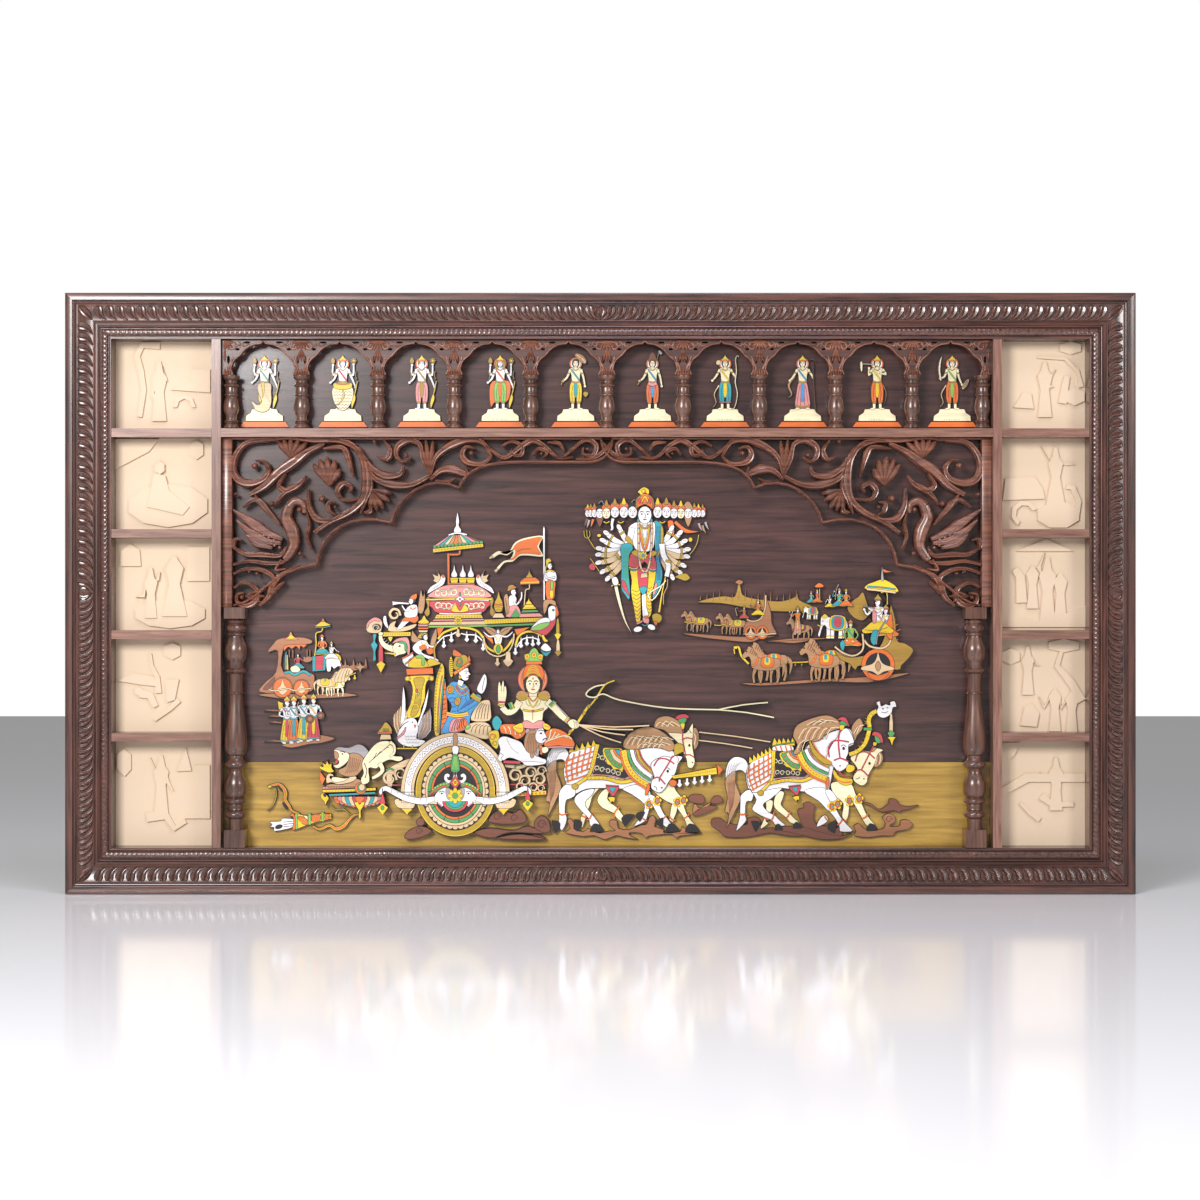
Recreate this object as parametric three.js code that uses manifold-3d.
// A carved rosewood wall panel with raised wood inlay: a mitred frame, two posts, shelves, turned columns,
// an openwork arch, a row of niches and inlaid figures, all on one backing board.
// X runs to the viewer's right, Z up and -Y towards the viewer. The origin is the centre of the back,
// which lies flat on the wall.
import * as THREE from 'three';
import { mergeVertices } from 'three/addons/utils/BufferGeometryUtils.js';
import Module from 'manifold-3d';

const wasm = await Module();
wasm.setup();

// Driving dimensions, in millimetres
const WIDTH = 2144;
const HEIGHT = 1204;
const RAIL_WIDTH = 92;
const BOARD_THICKNESS = 14;
const RABBET_WIDTH = 16;
const GAP = 0.3;
const POST_WIDTH = 18;
const POST_FRONT = 60;
const POST_LEFT = -770;
const POST_RIGHT = 796;
const LONG_RAIL_HEIGHT = 322.5;
const SHELF_HEIGHTS = [322.5, 120.5, -82.5, -288];
const SHELF_THICKNESS = 17;
const STRIP_THICKNESS = 3;
const STRIP_TOP = -341;
const SPANDREL_BACK = 26;
const SPANDREL_FRONT = 42;
const CARVING_FRONT = 48;
const ARCADE_BACK = 38;
const ARCADE_FRONT = 54;
const CAPITAL_TOP = 438;
const NICHE_COLUMN_AXIS = 43;
const COLUMN_AXIS = 41;
const COLUMN_TOP = -27;
const COLUMN_LEFT = -733;
const COLUMN_RIGHT = 752;
const FLUTE_PITCH = 42.8;
const VENEER = 2;

// The inner edges of the frame and the faces of the board and posts
const INNER_X = WIDTH / 2 - RAIL_WIDTH;
const INNER_Z = HEIGHT / 2 - RAIL_WIDTH;
const FIELD = BOARD_THICKNESS + GAP;
const BAY_LEFT = POST_LEFT + POST_WIDTH / 2 + GAP;
const BAY_RIGHT = POST_RIGHT - POST_WIDTH / 2 - GAP;
const BAY_CENTRE = (BAY_LEFT + BAY_RIGHT) / 2;
const NICHE_COUNT = 10;
const NICHE_PITCH = 153.4;
const FIRST_NICHE_COLUMN = BAY_CENTRE - NICHE_COUNT * NICHE_PITCH / 2;

// The full size drawing that the inlay is cut from is ruled in squares. Columns count to the right and
// rows down, and this square lies at the panel's centre.
const SQUARE = 2.024;
const CENTRE_COLUMN = 600.4;
const CENTRE_ROW = 593.5;

const panel = new THREE.Group();

function solidOf(geometry) {
  geometry.deleteAttribute('normal');
  geometry.deleteAttribute('uv');
  const merged = mergeVertices(geometry, 1e-3);
  const vertProperties = new Float32Array(merged.attributes.position.array);
  const triVerts = new Uint32Array(merged.index.array);
  return new wasm.Manifold(new wasm.Mesh({ numProp: 3, vertProperties, triVerts }));
}

// Solids joined into one, whose faces that share a plane are one face
function joined(solids) {
  return solids.reduce((whole, solid) => whole.add(solid)).asOriginal();
}

function addPiece(name, solid, colour, roughness = 0.35) {
  const mesh = solid.getMesh();
  const geometry = new THREE.BufferGeometry();
  geometry.setAttribute('position', new THREE.BufferAttribute(new Float32Array(mesh.vertProperties), 3));
  geometry.setIndex(new THREE.BufferAttribute(new Uint32Array(mesh.triVerts), 1));
  geometry.computeVertexNormals();
  const material = new THREE.MeshStandardMaterial({ color: colour, roughness, metalness: 0 });
  const piece = new THREE.Mesh(geometry, material);
  piece.name = name;
  panel.add(piece);
  return piece;
}

const ROSEWOOD = '#3b2420';
const ROSEWOOD_LIGHT = '#5a3830';
const YELLOW_WOOD = '#a8802f';
const CREAM_WOOD = '#e6dcc0';
const WHITE_WOOD = '#e9e6e2';
const TAN_WOOD = '#b08a64';

// A board from one corner to the other, between two distances from the wall
function board(left, bottom, right, top, back, front) {
  const geometry = new THREE.BoxGeometry(right - left, front - back, top - bottom);
  geometry.translate((left + right) / 2, -(front + back) / 2, (bottom + top) / 2);
  return solidOf(geometry);
}

// A flat outline in X and Z, as thick as the two distances from the wall say
function plate(shape, back, front, curveSegments = 6) {
  const settings = { depth: front - back, bevelEnabled: false, curveSegments };
  const geometry = new THREE.ExtrudeGeometry(shape, settings);
  geometry.rotateX(Math.PI / 2);
  geometry.translate(0, -back, 0);
  return solidOf(geometry);
}

function outline(points) {
  return new THREE.Shape(points.map(([x, z]) => new THREE.Vector2(x, z)));
}

// A turned piece that stands on a point of its axis. Its profile holds radius and height.
function turned(profile, x, z, distance, sides) {
  const points = profile.map(([radius, height]) => new THREE.Vector2(radius, height));
  const geometry = new THREE.LatheGeometry(points, sides);
  geometry.rotateX(Math.PI / 2);
  geometry.translate(x, -distance, z);
  return solidOf(geometry);
}

// A relief is drawn on its own sheet, placed on the squares, and its shapes are joined into one solid
class Relief {
  constructor(left, top, unit, back, front) {
    Object.assign(this, { left, top, unit, back, front, solids: [] });
  }

  place([x, y]) {
    const column = this.left + x * this.unit;
    const row = this.top + y * this.unit;
    return [(column - CENTRE_COLUMN) * SQUARE, (CENTRE_ROW - row) * SQUARE];
  }

  patch(points, rise = 0) {
    const shape = outline(points.map((point) => this.place(point)));
    this.solids.push(plate(shape, this.back, this.front + rise));
  }

  disc([x, y], radiusX, radiusY = radiusX, rise = 0, sides = 6) {
    const points = [];
    for (let i = 0; i < sides; i += 1) {
      const angle = (i + 0.5) * 2 * Math.PI / sides;
      points.push([x + radiusX * Math.cos(angle), y + radiusY * Math.sin(angle)]);
    }
    this.patch(points, rise);
  }

  // A ribbon through points, as wide at its start and at its end as told
  limbs(points, wide1, wide2 = wide1, rise = 0) {
    const last = points.length - 1;
    const left = [];
    const right = [];
    points.forEach(([x, y], i) => {
      const [x1, y1] = points[Math.max(i - 1, 0)];
      const [x2, y2] = points[Math.min(i + 1, last)];
      const length = Math.hypot(x2 - x1, y2 - y1);
      const half = (wide1 + (wide2 - wide1) * i / last) / 2;
      const [nx, ny] = [(y1 - y2) / length * half, (x2 - x1) / length * half];
      left.push([x + nx, y + ny]);
      right.unshift([x - nx, y - ny]);
    });
    this.patch([...left, ...right], rise);
  }

  limb(start, end, wide1, wide2 = wide1, rise = 0) {
    this.limbs([start, end], wide1, wide2, rise);
  }

  // Part of a ring, from one angle to another in degrees, counted clockwise from the right
  arch([x, y], radiusX, radiusY, width, from, to, steps, rise = 0) {
    const outer = [];
    const inner = [];
    for (let i = 0; i <= steps; i += 1) {
      const angle = (from + (to - from) * i / steps) * Math.PI / 180;
      outer.push([x + radiusX * Math.cos(angle), y + radiusY * Math.sin(angle)]);
      inner.unshift([x + (radiusX - width) * Math.cos(angle), y + (radiusY - width) * Math.sin(angle)]);
    }
    this.patch([...outer, ...inner], rise);
  }

  // A standing person, feet at a row, arms given as elbow and hand in parts of the height
  person(x, foot, height, { arms = [], hem = 0.13, crown = 0.13, halo = 0, rise = 0 } = {}) {
    const at = ([across, up]) => [x + across * height, foot - up * height];
    if (halo) this.disc(at([0, 0.9]), halo * height, halo * height, 0);
    const half = [[0.03, 0.97 + crown], [0.07, 0.9], [0.14, 0.8], [0.08, 0.54], [hem, 0.02]];
    const other = half.map(([across, up]) => [-across, up]).reverse();
    this.patch([...half, ...other].map(at), rise);
    for (const [side, elbow, hand] of arms) {
      const shoulder = [side * 0.09, 0.8];
      const bend = elbow.map((value, axis) => value - (shoulder[axis] + hand[axis]) / 2);
      const shift = 0.035 / Math.hypot(...bend);
      const outside = elbow.map((value, axis) => value + shift * bend[axis]);
      const inside = elbow.map((value, axis) => value - shift * bend[axis]);
      this.patch([shoulder, outside, hand, inside].map(at), rise);
    }
  }

  // A walking animal seen from the side, its head at the right when facing is 1
  beast(x, y, size, facing, { rise = 0, trunk = false } = {}) {
    const at = ([across, down]) => [x + facing * across * size, y + down * size];
    const head = trunk ? [[0.84, -0.3], [0.9, 0.3], [0.74, -0.04]] : [[0.84, -0.26], [0.66, -0.24]];
    const back = [[-0.46, -0.2], [0.26, -0.22], [0.54, -0.6], [0.66, -0.56]];
    const legs = [[0.5, 0.06], [0.5, 0.7], [0.32, 0.2], [0.16, 0.7], [0.1, 0.22], [-0.2, 0.22], [-0.18, 0.7]];
    const rump = [[-0.4, 0.2], [-0.5, 0.7], [-0.5, 0.1], [-0.66, 0.34]];
    this.patch([...back, ...head, ...legs, ...rump].map(at), rise);
  }

  // A canopy on a pole, given by its crown, its half width and how far down the pole goes
  parasol([x, y], half, drop, pole, rise = 0) {
    this.patch([[x - half, y + drop], [x, y], [x + half, y + drop]], rise);
    this.limb([x, y + drop * 0.5], [x, y + pole], half * 0.14, half * 0.14, rise);
  }

  add(name, colour) {
    addPiece(name, joined(this.solids), colour, 0.5);
  }
}

// The backing board lies in the frame's rabbet, with a shallow bed for the ground strip
function makeBackingBoard() {
  const halfX = INNER_X + RABBET_WIDTH - GAP;
  const halfZ = INNER_Z + RABBET_WIDTH - GAP;
  const whole = board(-halfX, -halfZ, halfX, halfZ, 0, BOARD_THICKNESS);
  const bed = board(BAY_LEFT - 1, -INNER_Z - 1, BAY_RIGHT + 1, STRIP_TOP + 1, BOARD_THICKNESS - STRIP_THICKNESS, 20);
  addPiece('backing_board', whole.subtract(bed), ROSEWOOD);
  const back = BOARD_THICKNESS - STRIP_THICKNESS + GAP;
  const strip = board(BAY_LEFT - GAP, -INNER_Z, BAY_RIGHT + GAP, STRIP_TOP, back, BOARD_THICKNESS);
  addPiece('ground_strip', strip, YELLOW_WOOD);
}

// A frame rail in the place of the top rail. The profile holds the distance in from the outer edge
// and the distance out from the wall.
const RAIL_PROFILE = [
  [0, 0], [0, 66], [15, 66], [18, 60], [22, 63], [25, 57], [54, 57], [56, 62],
  [60, 57], [69, 62], [71, 58], [76, 66], [82, 66], [86, 59], [92, 59],
  [92, FIELD], [RAIL_WIDTH - RABBET_WIDTH, FIELD], [RAIL_WIDTH - RABBET_WIDTH, 0],
];
const FLUTE_START = 25.5;
const FLUTE_END = 53.5;
const FLUTE_LEAN = 10;

function railSolid(length, outerEdge) {
  const settings = { depth: 2, bevelEnabled: false };
  const geometry = new THREE.ExtrudeGeometry(outline(RAIL_PROFILE), settings);
  const position = geometry.attributes.position;
  for (let i = 0; i < position.count; i += 1) {
    const inward = position.getX(i);
    const outward = position.getY(i);
    const end = (position.getZ(i) < 1 ? 1 : -1) * (length / 2 - inward - GAP);
    position.setXYZ(i, end, -outward, outerEdge - inward);
  }
  return solidOf(geometry);
}

// Half of the slanting carved flutes of a rail, from its middle outwards, on one side
function flutes(length, outerEdge, side) {
  const count = Math.floor((length / 2) / FLUTE_PITCH);
  const section = [[3, 56]];
  for (let i = 0; i < count; i += 1) {
    section.push([Math.max(3, i * FLUTE_PITCH), 58]);
    section.push([(i + 0.6) * FLUTE_PITCH, 64]);
  }
  section.push([count * FLUTE_PITCH, 58], [count * FLUTE_PITCH, 56]);
  const settings = { depth: 2, bevelEnabled: false };
  const geometry = new THREE.ExtrudeGeometry(outline(section), settings);
  const position = geometry.attributes.position;
  for (let i = 0; i < position.count; i += 1) {
    const nearInner = position.getZ(i) > 1;
    const inward = nearInner ? FLUTE_END : FLUTE_START;
    const lean = nearInner ? 0 : FLUTE_LEAN;
    position.setXYZ(i, position.getX(i) + lean, -position.getY(i), outerEdge - inward);
  }
  const solid = solidOf(geometry);
  return side > 0 ? solid : solid.mirror([1, 0, 0]);
}

function makeRail(name, length, outerEdge, turn) {
  const half = length / 2 - 3 * GAP;
  const mitred = outline([
    [-half, outerEdge], [-half + RAIL_WIDTH, outerEdge - RAIL_WIDTH],
    [half - RAIL_WIDTH, outerEdge - RAIL_WIDTH], [half, outerEdge],
  ]);
  const wedge = plate(mitred, 0, 70);
  const carving = flutes(length, outerEdge, 1).add(flutes(length, outerEdge, -1)).intersect(wedge);
  const boss = new Relief(0, 0, 1, 56, 65);
  boss.place = ([x, z]) => [x, outerEdge - z];
  boss.disc([0, 39], 12, 14);
  const whole = joined([railSolid(length, outerEdge), carving, ...boss.solids]);
  const rail = addPiece(name, whole, ROSEWOOD_LIGHT);
  rail.rotation.y = turn;
}

function makeFrame() {
  makeRail('frame_top', WIDTH, HEIGHT / 2, 0);
  makeRail('frame_bottom', WIDTH, HEIGHT / 2, Math.PI);
  makeRail('frame_left', HEIGHT, WIDTH / 2, -Math.PI / 2);
  makeRail('frame_right', HEIGHT, WIDTH / 2, Math.PI / 2);
}

function makeDividers() {
  const half = POST_WIDTH / 2;
  const top = INNER_Z - GAP;
  for (const [name, x] of [['post_left', POST_LEFT], ['post_right', POST_RIGHT]]) {
    addPiece(name, board(x - half, -top, x + half, top, FIELD, POST_FRONT), ROSEWOOD_LIGHT);
  }
  const halfShelf = SHELF_THICKNESS / 2;
  const railTop = LONG_RAIL_HEIGHT + halfShelf;
  const railBottom = LONG_RAIL_HEIGHT - halfShelf;
  addPiece('long_rail', board(BAY_LEFT, railBottom, BAY_RIGHT, railTop, FIELD, POST_FRONT), ROSEWOOD_LIGHT);
  const sides = [
    ['left', -INNER_X + GAP, POST_LEFT - half - GAP],
    ['right', POST_RIGHT + half + GAP, INNER_X - GAP],
  ];
  for (const [side, left, right] of sides) {
    SHELF_HEIGHTS.forEach((height, i) => {
      const shelf = board(left, height - halfShelf, right, height + halfShelf, FIELD, POST_FRONT);
      addPiece(`shelf_${side}_${i + 1}`, shelf, ROSEWOOD_LIGHT);
    });
  }
}

// The two big columns, from their square foot up to the block under the arch
const COLUMN_PROFILE = [
  [0, 0], [21, 0], [21, 36], [15, 40], [15, 55], [22, 60], [22, 73], [17, 78], [23, 92],
  [23, 130], [15, 152], [23, 162], [23, 176], [14, 182], [22.5, 205], [14, 306], [14, 345], [21, 356],
  [15, 368], [22, 402], [14, 424], [21, 440], [14, 448], [21, 462],
];

function makeColumns() {
  const height = COLUMN_TOP - GAP + INNER_Z - GAP;
  const profile = [...COLUMN_PROFILE, [21, height], [0, height]];
  for (const [name, x] of [['column_left', COLUMN_LEFT], ['column_right', COLUMN_RIGHT]]) {
    addPiece(name, turned(profile, x, -INNER_Z + GAP, COLUMN_AXIS, 7), ROSEWOOD);
  }
}

// The small columns under the niche brackets
const NICHE_COLUMN_PROFILE = [
  [0, 0], [16.5, 0], [16.5, 9], [11, 16], [16.4, 36], [12, 72], [16.5, 92],
];

function makeNicheColumns() {
  const foot = LONG_RAIL_HEIGHT + SHELF_THICKNESS / 2 + GAP;
  const height = CAPITAL_TOP - foot;
  const profile = [...NICHE_COLUMN_PROFILE, [16.5, height], [0, height]];
  const bay = board(BAY_LEFT, foot - 10, BAY_RIGHT, CAPITAL_TOP + 10, 0, 70);
  for (let i = 0; i <= NICHE_COUNT; i += 1) {
    const inset = i === 0 ? 12 : i === NICHE_COUNT ? -12 : 0;
    const x = FIRST_NICHE_COLUMN + i * NICHE_PITCH + inset;
    const column = turned(profile, x, foot, NICHE_COLUMN_AXIS, 6).intersect(bay);
    addPiece(`niche_column_${i + 1}`, column, ROSEWOOD);
  }
}

// The arcade is one fret of brackets. Each bracket spreads from its column in three curved steps, with a
// half lotus at the top and two pierced openings.
function makeArcade() {
  const top = INNER_Z - GAP;
  const foot = CAPITAL_TOP + GAP;
  const fret = new THREE.Shape();
  fret.moveTo(BAY_LEFT, top);
  const last = NICHE_COUNT;
  for (let i = 0; i <= last; i += 1) {
    const x = FIRST_NICHE_COLUMN + i * NICHE_PITCH;
    const half = NICHE_PITCH / 2;
    const rise = top - foot;
    if (i === 0) {
      fret.lineTo(BAY_LEFT, foot);
    } else {
      fret.lineTo(x - half, top - 6);
      fret.bezierCurveTo(x - 62, top - 22, x - 26, top - 20, x - 13, top - 0.75 * rise);
      fret.lineTo(x - 13, foot);
    }
    if (i === last) {
      fret.lineTo(BAY_RIGHT, foot);
      fret.lineTo(BAY_RIGHT, top);
    } else {
      fret.lineTo(x + 13, foot);
      fret.lineTo(x + 13, top - 0.75 * rise);
      fret.bezierCurveTo(x + 26, top - 20, x + 62, top - 22, x + half, top - 6);
    }
    if (i > 0 && i < last) {
      for (const side of [-1, 1]) {
        const hole = [[3, -36], [14, -38], [4, -54]];
        fret.holes.push(outline(hole.map(([dx, dz]) => [x + side * dx, top + dz])));
      }
    }
  }
  const solids = [plate(fret, ARCADE_BACK, ARCADE_FRONT - 4, 3)];
  for (let i = 1; i < last; i += 1) {
    const x = FIRST_NICHE_COLUMN + i * NICHE_PITCH;
    const lotus = outline([[x - 24, top], [x, top - 32], [x + 24, top]]);
    solids.push(plate(lotus, ARCADE_BACK, ARCADE_FRONT));
  }
  addPiece('niche_arcade', joined(solids), ROSEWOOD_LIGHT);
}

// Half of the openwork arch, drawn for the left half. Columns and rows are squares of the drawing.
const ARCH_CURVES = [
  [[262, 603], [268, 570], [317, 565]],
  [[320, 530], [350, 511], [391.5, 522]],
  [[396, 495], [430, 472], [459.6, 488]],
  [[466, 468], [486, 461.5], [520, 461.5]],
  [[545, 461.5], [570, 461.5], [588, 461.5]],
  [[603, 461.5], [607, 452], [607, 437]],
];
const ARCH_START = [236, 606];
const PIERCINGS = [
  [[13, 11], [17, 13], [14, 28]],
  [[44, 24], [54, 20], [52, 34]],
  [[75, 37], [84, 40], [84, 56]],
  [[109, 18], [116, 18], [119, 44], [112, 50]],
  [[40, 114], [47, 113], [44, 120]],
  [[64, 112], [74, 100], [70, 119]],
  [[132, 30], [142, 42], [138, 46]],
  [[192, 20], [202, 16], [194, 34]],
  [[304, 14], [318, 13], [316, 20]],
];

// A half of the openwork arch, side -1 left of the middle and 1 right of it
function spandrelHalf(side) {
  const sheet = new Relief(216, 430, 1.148, SPANDREL_BACK, SPANDREL_FRONT);
  const squares = new Relief(0, 0, 1, SPANDREL_BACK, CARVING_FRONT);
  for (const relief of [sheet, squares]) {
    const drawn = relief.place.bind(relief);
    relief.place = (point) => {
      const [x, z] = drawn(point);
      return [side < 0 ? x : 2 * BAY_CENTRE - x, z];
    };
  }
  const outer = side < 0 ? BAY_LEFT : BAY_RIGHT;
  const inner = BAY_CENTRE + side * GAP / 2;
  const top = LONG_RAIL_HEIGHT - SHELF_THICKNESS / 2 - GAP;
  const shape = new THREE.Shape();
  shape.moveTo(outer, top + 8);
  shape.lineTo(outer, COLUMN_TOP);
  shape.lineTo(...squares.place(ARCH_START));
  for (const [first, second, end] of ARCH_CURVES) {
    shape.bezierCurveTo(...squares.place(first), ...squares.place(second), ...squares.place(end));
  }
  shape.lineTo(inner - side * 4, top + 8);
  const piercings = PIERCINGS.map((points) => {
    return plate(outline(points.map((point) => sheet.place(point))), 0, 70);
  });
  const fret = plate(shape, SPANDREL_BACK, SPANDREL_FRONT, 3).subtract(joined(piercings));

  // The raised carving: a crested bird with its wing, tail and neck, then the scrolls and the flower
  const raise = CARVING_FRONT - SPANDREL_FRONT;
  sheet.patch([[15, 65], [33, 70], [58, 86], [50, 108], [20, 106]], raise);
  sheet.limbs([[62, 98], [61, 78], [72, 66]], 15, 9, raise);
  sheet.limbs([[36, 56], [84, 20], [106, 8]], 12, 6, raise);
  sheet.limb([58, 38], [50, 10], 8, 5, raise);
  sheet.arch([29, 30], 14, 16, 5, 20, 330, 4, raise);
  sheet.arch([20, 147], 11, 11, 5, 150, 400, 3, raise);
  sheet.disc([96, 36], 13, 13, raise);
  sheet.limbs([[106, 8], [126, 30], [124, 60], [96, 78]], 7, 5, raise);
  sheet.limbs([[128, 58], [160, 60], [186, 48]], 8, 6, raise);
  sheet.arch([166, 22], 10, 10, 5, -180, 90, 3, raise);
  sheet.arch([222, 19], 10, 10, 5, -180, 90, 3, raise);
  sheet.limbs([[186, 48], [216, 14], [262, 26], [302, 14]], 7, 5, raise);
  const room = board(Math.min(outer, inner), COLUMN_TOP, Math.max(outer, inner), top, 0, 70);
  return joined([fret, ...sheet.solids]).intersect(room);
}

function makeSpandrels() {
  addPiece('spandrel_left', spandrelHalf(-1), ROSEWOOD_LIGHT);
  addPiece('spandrel_right', spandrelHalf(1), ROSEWOOD_LIGHT);
}

// The ten niche figures. Each sheet's middle is the figure's axis and its top the niche's top.
const NICHE_AXES = [264.3, 342.7, 421.7, 500.2, 575.7, 652.5, 725.2, 802.7, 877.3, 952.3];
const STAND = [[12.5, 71], [18.5, 77.5], [18.5, 83], [24.5, 88.4]];
const RAISED_ARMS = [[-1, [-0.28, 0.6], [-0.22, 0.84]], [1, [0.26, 0.6], [0.24, 0.84]]];
const LOW_ARMS = [[-1, [-0.2, 0.58], [-0.28, 0.52]], [1, [0.2, 0.58], [0.25, 0.44]]];
const FLUTE_ARMS = [[-1, [-0.22, 0.62], [-0.2, 0.78]], [1, [0.24, 0.68], [-0.02, 0.7]]];
const NICHE_ARMS = [
  [...RAISED_ARMS, ...LOW_ARMS], [...RAISED_ARMS, ...LOW_ARMS], [...RAISED_ARMS, ...LOW_ARMS],
  [...RAISED_ARMS, ...LOW_ARMS], LOW_ARMS, LOW_ARMS, LOW_ARMS, LOW_ARMS, FLUTE_ARMS, LOW_ARMS,
];

function makeNicheFigures() {
  NICHE_AXES.forEach((axis, i) => {
    const relief = new Relief(axis, 338, 1, FIELD, 22);
    relief.patch([...STAND, ...STAND.map(([x, y]) => [-x, y]).reverse()]);
    if (i === 0) {
      relief.limbs([[0, 42], [2, 56], [-2, 69], [-11, 63]], 14, 4);
      relief.patch([[-8, 30], [8, 30], [6, 45], [-6, 45]]);
    } else if (i === 1) {
      relief.disc([0, 59], 12, 13);
    }
    relief.person(0, 73, 52, { arms: NICHE_ARMS[i], halo: 0.15, hem: i === 0 ? 0.06 : 0.13 });
    if (i < 4) relief.limb([13.5, 47], [9.5, 69], 3, 5);
    if (i === 6) relief.limbs([[14, 18], [12, 44], [10, 70]], 2.4);
    if (i === 7) relief.limb([13, 24], [15, 74], 1.8);
    if (i === 9) relief.limb([-13, 48], [-11, 20], 3, 2);
    relief.add(`niche_figure_${i + 1}`, CREAM_WOOD);
  });
}

// The ten side pictures are thin veneer boards with the inlay on them. Each sheet is 106 squares wide.
const CELL_SHEETS = {
  left: [[108, 336], [108, 434], [108, 535], [108, 636], [108, 738]],
  right: [[990, 336], [990, 434], [990, 535], [990, 636], [990, 738]],
};
const CELL_UNITS = [0.676, 0.676, 0.676, 0.676, 0.702];
const CELL_DRAWINGS = {
  left: [
    (r) => {
      r.limbs([[78, 15], [52, 14], [44, 30], [50, 52], [54, 80], [48, 120]], 10, 7);
      r.person(77, 128, 82, { arms: [[-1, [-0.12, 0.5], [-0.01, 0.28]], [1, [0.14, 0.76], [0.06, 1.02]]] });
      r.patch([[94, 80], [124, 68], [124, 50], [152, 50], [152, 84]]);
      r.arch([114, 106], 17, 19, 6, 180, 360, 4);
    },
    (r) => {
      r.disc([90, 106], 61, 32, 0, 10);
      r.patch([[122, 16], [132, 9], [142, 16], [142, 31], [132, 38], [122, 31]]);
      r.patch([[10, 8], [76, 8], [62, 26], [32, 42], [12, 52]]);
      r.disc([78, 50], 8, 10, 3);
      r.patch([[70, 58], [86, 62], [92, 84], [122, 108], [112, 120], [60, 108]], 3);
    },
    (r) => {
      r.disc([93, 116], 54, 22, 0, 10);
      r.person(65, 124, 68, { arms: [[-1, [-0.15, 0.5], [-0.34, 0.48]], [1, [0.16, 0.88], [0.2, 1.02]]], rise: 3 });
      r.person(100, 122, 92, { hem: 0.2, crown: 0, rise: 3 });
      r.patch([[20, 24], [34, 13], [48, 22], [50, 46], [20, 46]]);
      r.patch([[118, 18], [151, 18], [151, 68], [118, 68]]);
    },
    (r) => {
      r.limbs([[76, 84], [74, 60], [66, 44], [64, 26]], 9, 3);
      r.disc([96, 22], 14, 13);
      r.patch([[14, 66], [40, 54], [70, 60], [72, 74], [52, 72]]);
      r.limbs([[48, 84], [64, 88], [72, 104]], 13, 8);
      r.disc([46, 81], 6, 7);
      r.patch([[86, 64], [106, 64], [100, 94], [88, 98]]);
      r.limbs([[106, 94], [92, 108], [70, 124]], 8, 4);
    },
    (r) => {
      r.patch([[14, 23], [24, 15], [34, 23], [34, 44], [25, 54], [14, 44]]);
      r.patch([[99, 47], [112, 14], [120, 46]]);
      r.patch([[124, 38], [146, 38], [146, 114], [110, 114], [127, 96]]);
      r.person(77, 108, 76, { arms: [[-1, [-0.08, 0.8], [-0.2, 1.06]], [1, [0.12, 0.6], [0.24, 0.42]]] });
      r.limbs([[56, 112], [84, 110], [96, 128], [112, 118]], 14, 5);
    },
  ],
  right: [
    (r) => {
      r.person(80, 122, 78, { arms: [[-1, [0.05, 0.6], [0.18, 0.6]], [1, [0.13, 0.8], [0.21, 0.93]]], crown: 0.1 });
      r.limbs([[113, 60], [110, 74], [106, 100]], 8, 12);
      r.disc([124, 90], 17, 13);
      r.limbs([[134, 76], [128, 52], [110, 34], [70, 32]], 7, 3);
      r.disc([118, 18], 18, 10);
      r.patch([[34, 106], [48, 84], [60, 86], [64, 108]]);
    },
    (r) => {
      r.disc([100, 120], 33, 20, 0, 8);
      r.limbs([[126, 122], [130, 100], [122, 80], [112, 78]], 9, 7);
      r.patch([[18, 98], [22, 66], [66, 64], [78, 82], [80, 96]]);
      r.arch([50, 118], 20, 20, 7, 120, 340, 5);
      r.person(96, 106, 78, { arms: [[-1, [-0.14, 0.88], [-0.28, 1.12]], [1, [0.22, 0.78], [0.38, 0.78]]], hem: 0.18 });
    },
    (r) => {
      r.patch([[38, 24], [82, 6], [122, 24]]);
      r.person(84, 132, 90, { arms: [[-1, [-0.14, 0.94], [-0.04, 1.18]]] });
      r.person(62, 110, 66, { crown: 0 });
      r.person(103, 126, 72, { crown: 0 });
      r.limbs([[36, 50], [44, 62], [46, 100]], 10, 16);
      r.patch([[16, 136], [16, 114], [80, 128], [142, 104], [142, 136]]);
    },
    (r) => {
      r.limbs([[134, 96], [120, 70], [98, 44], [106, 18]], 14, 5);
      r.disc([108, 14], 26, 10);
      r.disc([30, 30], 15, 12);
      r.person(55, 88, 66, { arms: [[1, [0.24, 0.68], [-0.02, 0.7]]] });
      r.person(95, 142, 66, { arms: [[-1, [-0.24, 0.56], [-0.36, 0.8]]], crown: 0 });
      r.person(120, 146, 66, { arms: [[-1, [-0.24, 0.6], [-0.28, 0.9]]], crown: 0 });
      r.patch([[44, 132], [50, 104], [60, 98], [72, 114], [68, 134]]);
    },
    (r) => {
      r.patch([[13, 72], [50, 50], [134, 50], [134, 62], [54, 62], [13, 84]]);
      r.patch([[13, 6], [42, 6], [34, 24], [13, 40]]);
      r.person(93, 104, 70, { arms: [[-1, [-0.2, 0.66], [-0.32, 0.8]], [1, [0.08, 0.5], [-0.05, 0.34]]] });
      r.limbs([[72, 82], [88, 94], [118, 94]], 10, 6);
      r.limbs([[70, 116], [56, 106], [42, 92]], 7, 4);
    },
  ],
};

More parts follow.
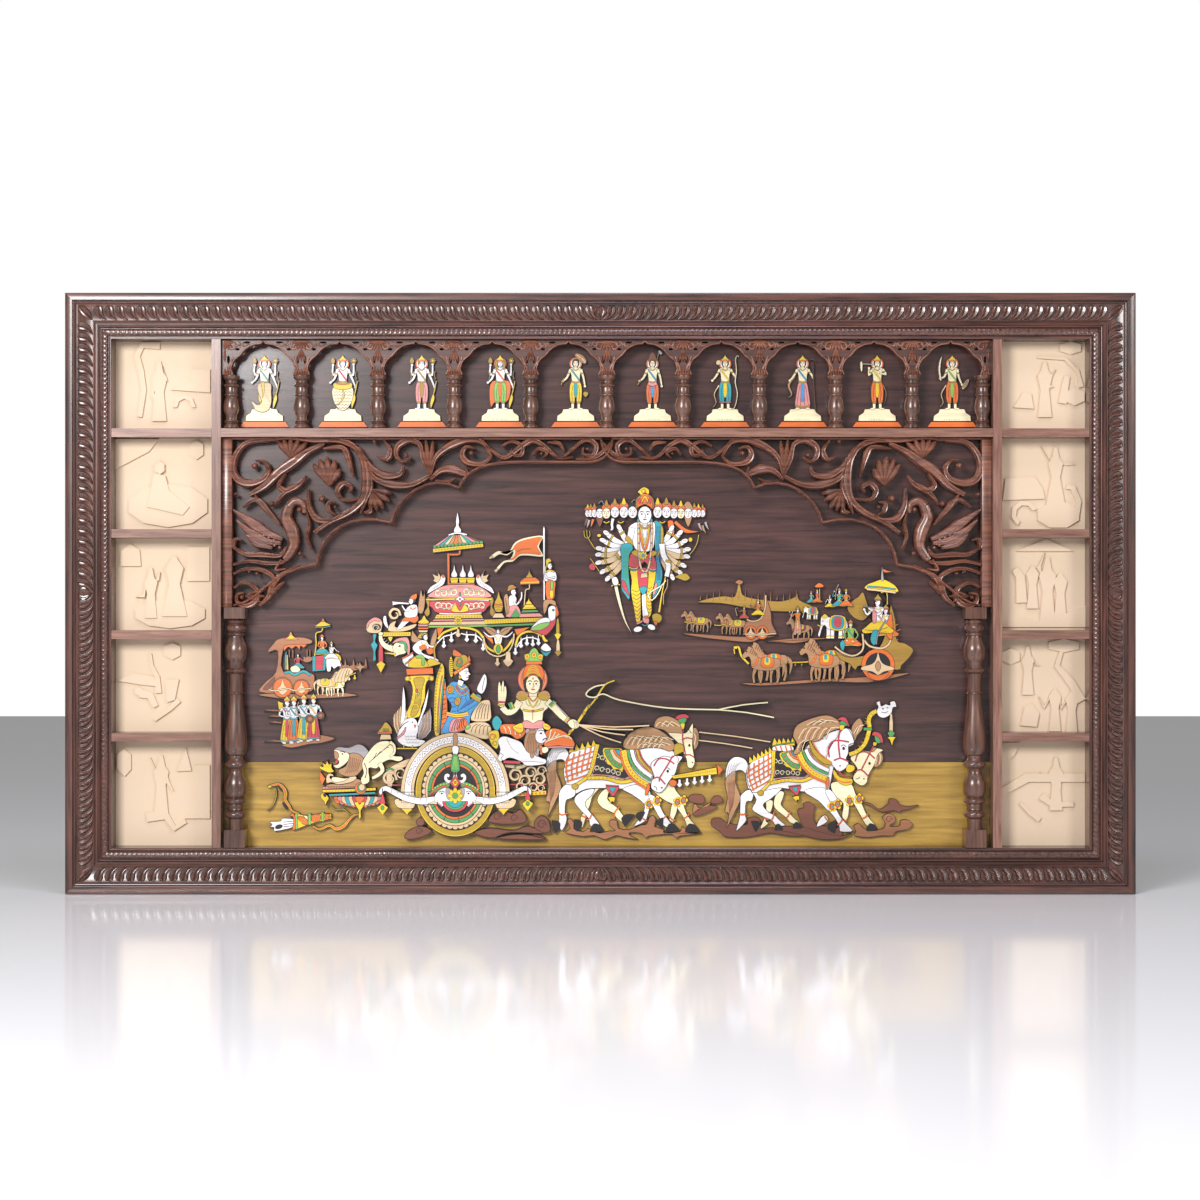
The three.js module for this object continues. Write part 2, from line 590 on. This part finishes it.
function makeCells() {
  const half = POST_WIDTH / 2;
  const halfShelf = SHELF_THICKNESS / 2;
  const spans = {
    left: [-INNER_X + GAP, POST_LEFT - half - GAP],
    right: [POST_RIGHT + half + GAP, INNER_X - GAP],
  };
  const edges = [INNER_Z + halfShelf, ...SHELF_HEIGHTS, -INNER_Z - halfShelf];
  for (const side of ['left', 'right']) {
    CELL_DRAWINGS[side].forEach((draw, i) => {
      const [left, right] = spans[side];
      const [column, row] = CELL_SHEETS[side][i];
      const relief = new Relief(column, row, CELL_UNITS[i], FIELD + VENEER - 0.5, 21);
      draw(relief);
      const top = edges[i] - halfShelf - GAP;
      const bottom = edges[i + 1] + halfShelf + GAP;
      const room = board(left, bottom, right, top, FIELD, 40);
      const veneer = board(left, bottom, right, top, FIELD, FIELD + VENEER);
      const figures = joined(relief.solids).intersect(room);
      addPiece(`cell_${side}_${i + 1}`, veneer.add(figures), i % 2 ? CREAM_WOOD : TAN_WOOD, 0.5);
    });
  }
}

// The chariot, drawn on two sheets: the car with its two riders, then the canopy and its brackets
function makeChariot() {
  const r = new Relief(360, 640, 1.531, FIELD, 26);
  r.patch([[-25, 96], [30, 88], [124, 94], [122, 103], [-25, 108]]);
  r.patch([[-25, 70], [-6, 72], [-4, 92], [-20, 98]], 4);
  r.limbs([[6, 94], [10, 76], [28, 70], [30, 98]], 9, 9, 4);
  r.disc([32, 60], 9, 9, 4);
  r.patch([[31, 19], [47, 18], [44, 28], [42, 60], [30, 60], [34, 28]]);
  r.patch([[48, 62], [48, 26], [54, 15], [57, 26], [54, 62]]);
  r.arch([62.5, 98.5], 35.5, 39, 10, 172, 368, 8, 4);
  r.disc([62.5, 98.5], 27, 30, 0, 10);
  r.limbs([[57, 98], [44, 107], [15, 98]], 10, 3, 8);
  r.limbs([[68, 98], [82, 107], [111, 95]], 10, 3, 8);
  r.limb([62.5, 98], [62.5, 64], 6, 4, 8);
  // The passenger sits in profile with joined hands
  r.patch([[58, 25], [70, 27], [73, 44], [72, 60], [54, 60], [57, 46]], 8);
  r.limbs([[60, 36], [68, 46], [79, 32]], 7, 4, 8);
  r.patch([[60, 26], [58, 20], [61, 8], [72, 11], [73, 24]], 8);
  r.patch([[72, 62], [76, 42], [85, 40], [84, 62]], 4);
  // The charioteer holds up one hand and the reins in the other
  r.patch([[107, 13], [113, 5], [120, 13], [118, 35], [108, 35]], 8);
  r.patch([[102, 36], [110, 33], [117, 33], [124, 37], [119, 56], [109, 56]], 8);
  r.limbs([[104, 38], [97, 47], [93, 28]], 6, 4, 8);
  r.limbs([[122, 38], [130, 46], [139, 54]], 6, 4, 8);
  r.patch([[92, 64], [108, 52], [122, 53], [138, 60], [134, 68], [104, 72]], 8);
  r.limb([94, 74], [122, 66], 14, 12, 8);
  r.limb([108, 72], [113, 94], 9, 16, 4);
  const c = new Relief(360, 500, 1.403, FIELD, 26);
  c.limbs([[46, 126], [42, 104], [50, 86]], 16, 10);
  c.patch([[48, 91], [54, 82], [128, 84], [131, 90]], 4);
  c.patch([[49, 70], [64, 58], [82, 58], [93, 70], [86, 84], [56, 84]], 4);
  c.limb([63, 60], [63, 32], 2.4);
  c.patch([[52, 37], [62, 25], [69, 9], [76, 25], [88, 35]], 4);
  c.limb([16, 96], [48, 94], 4, 8);
  c.patch([[4, 95], [8, 84], [38, 72], [40, 95]]);
  c.limb([131.5, 86], [131.5, 19], 1.8);
  c.patch([[132, 26], [132, 40], [98, 50], [95, 40]]);
  c.limb([108, 86], [109, 64], 10, 6);
  c.parasol([120, 49], 7, 12, 36);
  c.limb([122, 92], [138, 78], 12, 7, 4);
  c.limbs([[54, 88], [84, 96], [96, 108], [118, 96], [130, 88]], 5, 4);
  addPiece('chariot', joined([...r.solids, ...c.solids]), CREAM_WOOD, 0.5);
}

// One of a pair of horses: body, neck and head, then legs given by their joints
function horse(r, { body: [back, front], neck: [low, high, nose], legs, rise = 0 }) {
  r.limb(back, front, 26, 27, rise);
  r.limb(low, high, 26, 13, rise);
  r.limb(high, nose, 13, 8, rise);
  for (const joints of legs) r.limbs(joints, 9, 5, rise);
}

function makeHorses() {
  const rear = new Relief(530, 670, 1.339, FIELD, 26);
  horse(rear, {
    body: [[44, 72], [92, 74]],
    neck: [[94, 72], [112, 44], [118, 70]],
    legs: [
      [[46, 80], [44, 96], [38, 116]], [[98, 80], [110, 102], [120, 118]],
    ],
  });
  horse(rear, {
    body: [[38, 72], [88, 74]],
    neck: [[86, 72], [92, 54], [97, 88]],
    legs: [
      [[30, 76], [24, 98], [22, 118]], [[36, 82], [40, 98], [51, 119]],
      [[80, 82], [84, 104], [80, 118]], [[88, 80], [96, 108], [106, 118]],
    ],
    rise: 4,
  });
  rear.limbs([[36, 68], [20, 64], [16, 108]], 7, 4, 4);
  rear.patch([[70, 62], [76, 44], [92, 36], [108, 34], [104, 60]], 8);
  rear.limb([104, 80], [141, 74], 8, 7, 4);
  rear.patch([[20, 112], [46, 116], [120, 116], [128, 122], [84, 125], [20, 121]]);
  rear.patch([[33, 63], [38, 55], [48, 52], [72, 60], [76, 80], [28, 84]], 8);
  rear.add('rear_horses', WHITE_WOOD);

  const lead = new Relief(700, 680, 1.403, FIELD, 26);
  horse(lead, {
    body: [[52, 66], [98, 68]],
    neck: [[96, 66], [114, 44], [118, 68]],
    legs: [
      [[56, 74], [54, 90], [70, 102]], [[98, 74], [112, 88], [122, 104]],
    ],
  });
  horse(lead, {
    body: [[40, 66], [88, 68]],
    neck: [[86, 64], [98, 42], [101, 62]],
    legs: [
      [[38, 74], [30, 88], [27, 106]], [[44, 74], [42, 93], [58, 103]],
      [[84, 74], [94, 92], [106, 107]], [[90, 74], [98, 88], [86, 102]],
    ],
    rise: 4,
  });
  lead.limbs([[38, 62], [24, 60], [21, 100]], 8, 4, 4);
  lead.patch([[66, 50], [70, 36], [84, 25], [100, 24], [92, 46]], 8);
  lead.patch([[34, 58], [56, 43], [66, 42], [82, 68], [36, 76]], 8);
  lead.limbs([[104, 54], [118, 42], [127, 20], [138, 18]], 5, 6, 8);
  lead.patch([[14, 98], [26, 99], [100, 98], [150, 98], [128, 110], [16, 108]]);
  lead.add('lead_horses', WHITE_WOOD);
}

// A standing figure with a row of heads and two fans of arms
function makeManyArmedFigure() {
  const r = new Relief(644.4, 488, 1, FIELD, 26);
  r.person(0, 145, 120, { crown: 0.14, rise: 8 });
  for (const side of [-1, 1]) {
    r.limb([0, 22], [side * 62, 30], 20, 15);
    for (let i = 0; i < 6; i += 1) {
      const angle = (-38 + i * 24) * Math.PI / 180;
      const hand = [side * (8 + 66 * Math.cos(angle)), 52 + 46 * Math.sin(angle)];
      r.limb([side * 6, 48], hand, 7, 5, 4);
    }
  }
  r.add('many_armed_figure', CREAM_WOOD);
}

// The distant groups stand on a long dark ground
function makeArmies() {
  const left = new Relief(0, 0, 1, FIELD, 22);
  left.patch([[258, 692], [366, 688], [366, 700], [330, 712], [318, 742], [284, 742], [286, 712], [258, 704]]);
  left.patch([[266, 692], [270, 648], [286, 630], [304, 648], [308, 692]]);
  left.disc([282.5, 687], 11, 11, 4);
  left.disc([302, 688], 9, 11, 4);
  left.parasol([323, 620], 14, 10, 60);
  left.beast(330, 674, 34, 1, { trunk: true });
  for (let i = 0; i < 3; i += 1) left.person(292 + i * 9, 740, 34, { crown: 0.1 });
  left.add('army_left', TAN_WOOD);

  const right = new Relief(0, 0, 1, FIELD, 22);
  right.patch([[676, 640], [720, 628], [916, 640], [916, 690], [860, 690], [690, 672]]);
  right.disc([877, 665], 16, 16, 4, 10);
  right.parasol([881, 583], 20, 12, 70);
  right.patch([[862, 640], [896, 640], [900, 662], [860, 662]], 4);
  for (let i = 0; i < 3; i += 1) {
    right.beast(724 + i * 46, 632 + (i % 2) * 16, 36, -1, { rise: 4, trunk: i % 2 === 0 });
    right.limb([724 + i * 46, 630 + (i % 2) * 16], [724 + i * 46, 598 + (i % 2) * 12], 10, 6);
  }
  right.add('army_right', TAN_WOOD);
}

function makeBowAndQuiver() {
  const r = new Relief(0, 0, 1, FIELD, 24);
  r.limbs([[266, 816], [292, 798], [314, 812], [338, 810], [356, 820]], 5, 3);
  r.limb([270, 829], [358, 811], 10, 7);
  r.add('bow_and_quiver', CREAM_WOOD);
}

makeBackingBoard();
makeFrame();
makeDividers();
makeColumns();
makeSpandrels();
makeArcade();
makeNicheColumns();
makeNicheFigures();
makeCells();
makeChariot();
makeHorses();
makeManyArmedFigure();
makeArmies();
makeBowAndQuiver();

export default panel;
